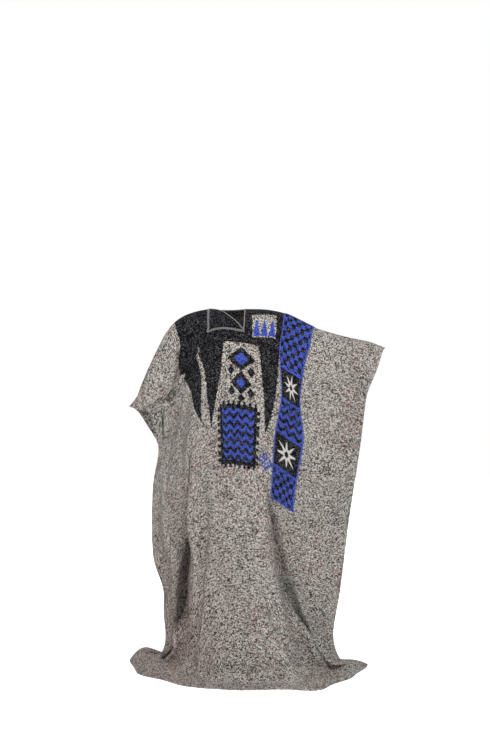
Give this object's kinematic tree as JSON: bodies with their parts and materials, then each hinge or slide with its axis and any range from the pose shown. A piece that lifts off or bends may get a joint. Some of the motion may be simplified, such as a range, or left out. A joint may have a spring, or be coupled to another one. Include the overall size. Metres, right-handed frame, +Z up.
{
  "type": "grand boubou robe",
  "caption": "Floor-length wide robe, worn and hollow, with sleeves cut in one, slanting neck, neck patch and a decorated strip from shoulder to hip.",
  "frame": {"origin": "middle of the neck on the shoulder line, where the wearer's shoulders carry the robe", "axes": "+Z up, -Y towards the front of the robe, +X towards the robe's own left sleeve, at the right in a front view; the floor under the hem is at z = -1.425"},
  "size_m": [1.0004, 0.5844, 1.4261],
  "materials": {
    "cloth": "coarse mottled grey weave with black and blue figures",
    "dark_cloth": "coarse charcoal weave",
    "strip_cloth": "blue and black patterned weave",
    "cord": "grey chain-stitched cord"
  },
  "bodies": {
    "root": {"front": "cloth", "back": "cloth", "neck_patch": "dark_cloth", "shoulder_strip": "strip_cloth", "neck_edging": "cord"}
  },
  "joints": []
}
